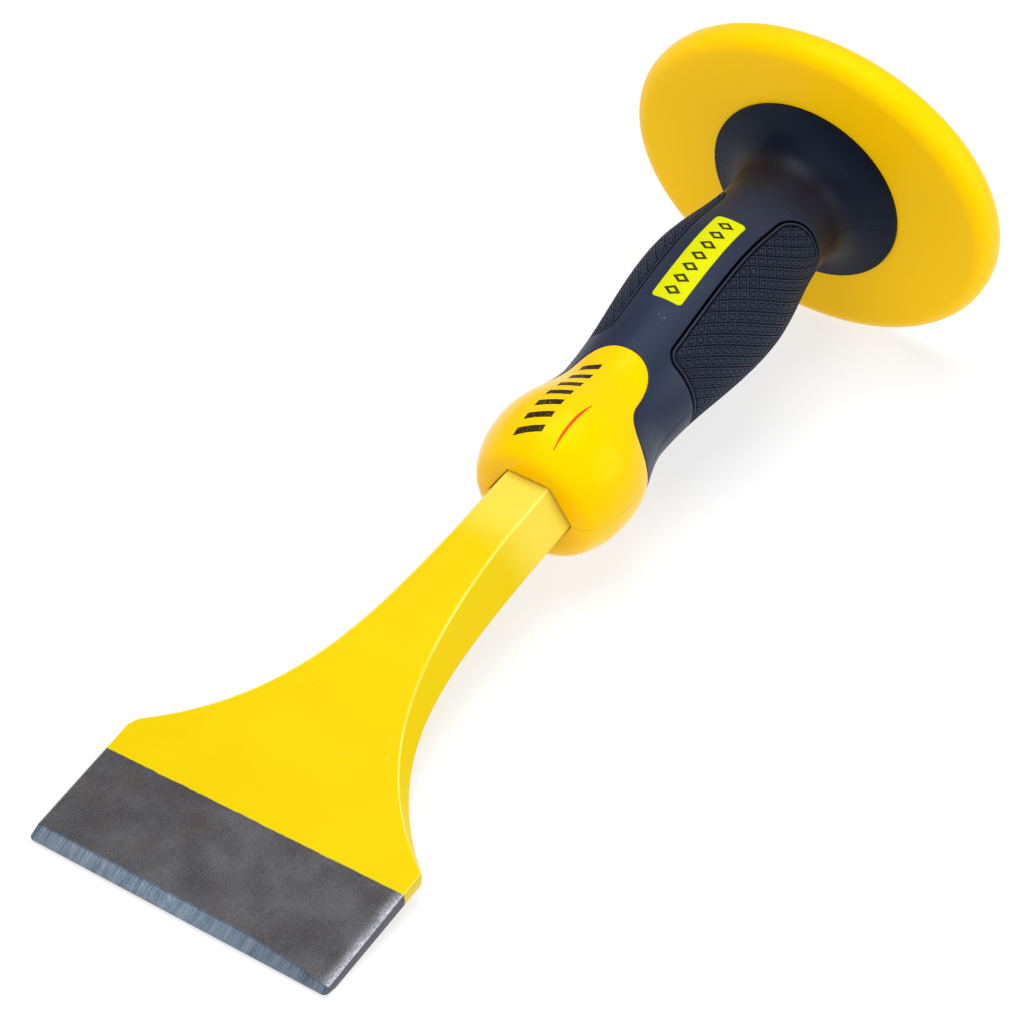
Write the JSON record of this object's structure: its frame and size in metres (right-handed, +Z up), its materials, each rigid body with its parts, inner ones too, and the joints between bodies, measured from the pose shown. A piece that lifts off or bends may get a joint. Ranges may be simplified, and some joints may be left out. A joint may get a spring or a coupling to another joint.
{
  "type": "guarded floor chisel",
  "caption": "Wide forged floor chisel with a hexagonal bar, two-tone moulded grip with textured pads, and an oval hand guard. Struck with a hammer to lift boards or cut brick.",
  "frame": {"origin": "on the bench under the middle of the tool's footprint, with the tool lying as it rests: on the lower heel of its cutting edge and on the rim of its guard", "axes": "+X runs from the cutting edge towards the strike face, +Y across the blade, +Z up. The tool's own axis lies in the XZ plane and climbs about 9 degrees towards +X"},
  "size_m": [0.252, 0.091, 0.0773],
  "materials": {
    "painted_steel": "gloss yellow paint on forged steel, bare at the blade",
    "core_plastic": "gloss yellow moulding",
    "sleeve_rubber": "satin near-black moulding",
    "pad_rubber": "matt near-black moulding with a fine raised pattern",
    "badge_plastic": "plain lemon label",
    "guard_plastic": "satin yellow moulding"
  },
  "bodies": {
    "root": {"chisel_bar": "painted_steel", "handle_core": "core_plastic", "grip_sleeve": "sleeve_rubber", "grip_pad_left": "pad_rubber", "grip_pad_right": "pad_rubber", "badge": "badge_plastic", "guard_disc": "guard_plastic"}
  },
  "joints": []
}
